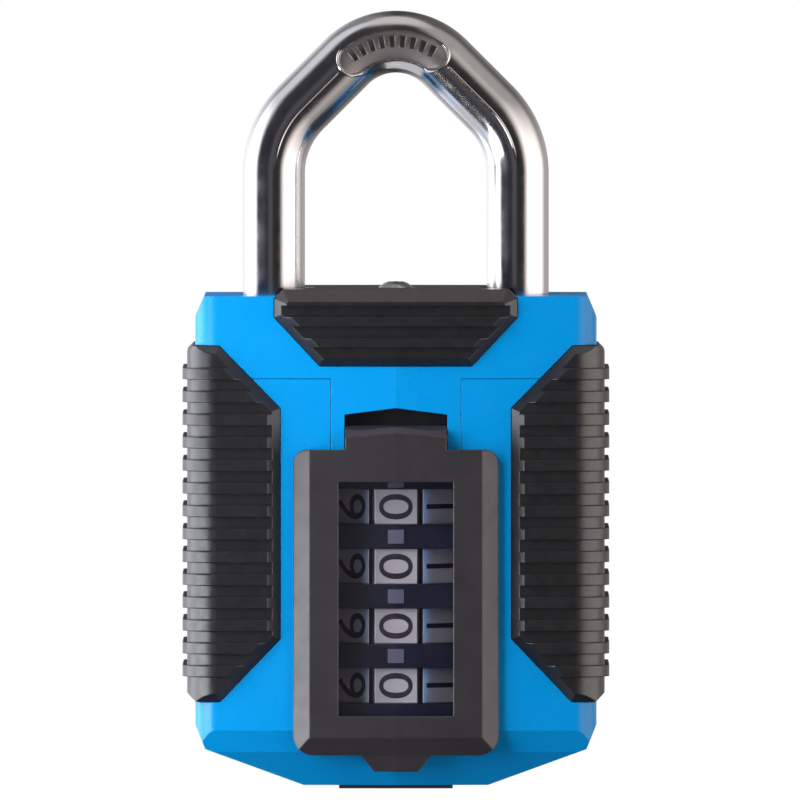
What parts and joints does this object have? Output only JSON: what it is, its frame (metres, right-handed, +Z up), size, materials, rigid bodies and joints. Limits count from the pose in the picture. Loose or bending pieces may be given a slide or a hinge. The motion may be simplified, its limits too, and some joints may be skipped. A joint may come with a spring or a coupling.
{
  "type": "combination padlock",
  "caption": "Weatherproof dial combination padlock with a straight-shouldered steel shackle, plastic jacket, rubber bumpers and a flip-up clear cover.",
  "frame": {"origin": "middle of the base plug's flat underside, in the plane of the shackle", "axes": "+Z up along the shackle's legs, +X to the right seen from the dials, the dials and their cover face -Y"},
  "size_m": [0.0552, 0.0313, 0.1004],
  "materials": {
    "blue_plastic": "satin moulded ABS",
    "black_plastic": "satin moulded",
    "grey_plastic": "satin",
    "black_rubber": "satin moulded elastomer",
    "polished_stainless": "polished stainless steel",
    "stainless_steel": "plain stainless steel",
    "spring_steel": "spring temper",
    "zinc_alloy": "die-cast zinc, plain",
    "dial_chrome": "satin chrome plated pads",
    "brass": "machined",
    "clear_window": "clear smoke-tinted polycarbonate"
  },
  "bodies": {
    "lock": {"upper_jacket": "blue_plastic", "lower_jacket": "blue_plastic", "left_bumper": "black_rubber", "right_bumper": "black_rubber", "top_bumper": "black_rubber", "top_screw": "stainless_steel", "bottom_screw": "stainless_steel", "base_plug": "black_plastic", "heel_seal": "black_rubber", "toe_seal": "black_rubber", "shackle_spring": "spring_steel", "reset_spring": "spring_steel", "sleeve_washer": "stainless_steel", "lock_body": "zinc_alloy", "back_plate": "zinc_alloy", "back_plate_rivets": "stainless_steel", "dial_frame": "black_plastic", "index_marks": "grey_plastic", "click_spring": "spring_steel", "cover_gasket": "black_rubber", "hinge_pin": "stainless_steel"},
    "shackle": {"shackle": "polished_stainless", "spindle": "stainless_steel", "crosshead": "stainless_steel"},
    "cover": {"cover_frame": "black_plastic", "cover_window": "clear_window"},
    "dial_1": {"dial_ring_1": "dial_chrome", "code_sleeve_1": "brass"},
    "dial_2": {"dial_ring_2": "dial_chrome", "code_sleeve_2": "brass"},
    "dial_3": {"dial_ring_3": "dial_chrome", "code_sleeve_3": "brass"},
    "dial_4": {"dial_ring_4": "dial_chrome", "code_sleeve_4": "brass"}
  },
  "joints": [
    {"name": "shackle_lift", "type": "slide", "parent": "lock", "child": "shackle", "axis": [0, 0, 1], "range_m": [0, 0.0125], "deforming": ["shackle_spring"]},
    {"name": "dial_1_turn", "type": "hinge", "parent": "lock", "child": "dial_1", "pos_m": [0, -0.0006, 0], "axis": [0, 0, 1], "continuous": true},
    {"name": "dial_2_turn", "type": "hinge", "parent": "lock", "child": "dial_2", "pos_m": [0, -0.0006, 0], "axis": [0, 0, 1], "continuous": true},
    {"name": "dial_3_turn", "type": "hinge", "parent": "lock", "child": "dial_3", "pos_m": [0, -0.0006, 0], "axis": [0, 0, 1], "continuous": true},
    {"name": "dial_4_turn", "type": "hinge", "parent": "lock", "child": "dial_4", "pos_m": [0, -0.0006, 0], "axis": [0, 0, 1], "continuous": true},
    {"name": "cover_flip", "type": "hinge", "parent": "lock", "child": "cover", "pos_m": [0, -0.012, 0.04515], "axis": [-1, 0, 0], "range_deg": [0, 90]}
  ]
}
